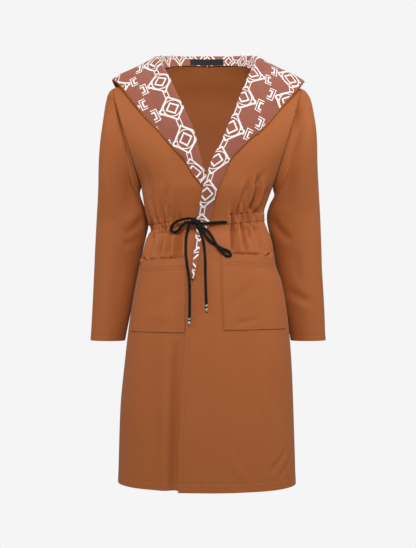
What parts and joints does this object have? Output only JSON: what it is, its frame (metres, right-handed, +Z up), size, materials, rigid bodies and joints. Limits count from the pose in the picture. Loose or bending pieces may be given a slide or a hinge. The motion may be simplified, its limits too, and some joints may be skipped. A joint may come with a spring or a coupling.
{
  "type": "hooded coat",
  "caption": "Knee-length hooded coat with an open V neck, wide turned-back lapels in a contrast lining, a drawcord waist with a bow, patch pockets and long plain sleeves.",
  "frame": {"origin": "middle of the neck opening at shoulder height, where the coat is held", "axes": "+Z up, -Y out of the front, +X to the viewer's right"},
  "size_m": [0.5731, 0.3144, 1.0427],
  "materials": {
    "shell": "rust-brown plain smooth cloth, matt with a faint sheen",
    "print": "dusty rose-brown lining cloth with a white line print, matt",
    "cord": "black braided cord",
    "metal": "silver-coloured cord tip with a black band",
    "label": "plain black woven tape"
  },
  "bodies": {
    "root": {"back": "shell", "front_left": "shell", "front_right": "shell", "sleeve_left": "shell", "sleeve_right": "shell", "hood_left": "shell", "hood_right": "shell", "lining_left": "print", "lining_right": "print", "pocket_left": "shell", "pocket_right": "shell", "label": "label", "cord_knot": "cord", "cord_loop_left": "cord", "cord_loop_right": "cord", "cord_strand": "cord", "cord_end_left": "cord", "cord_end_right": "cord", "tip_left": "metal", "tip_right": "metal"}
  },
  "joints": []
}
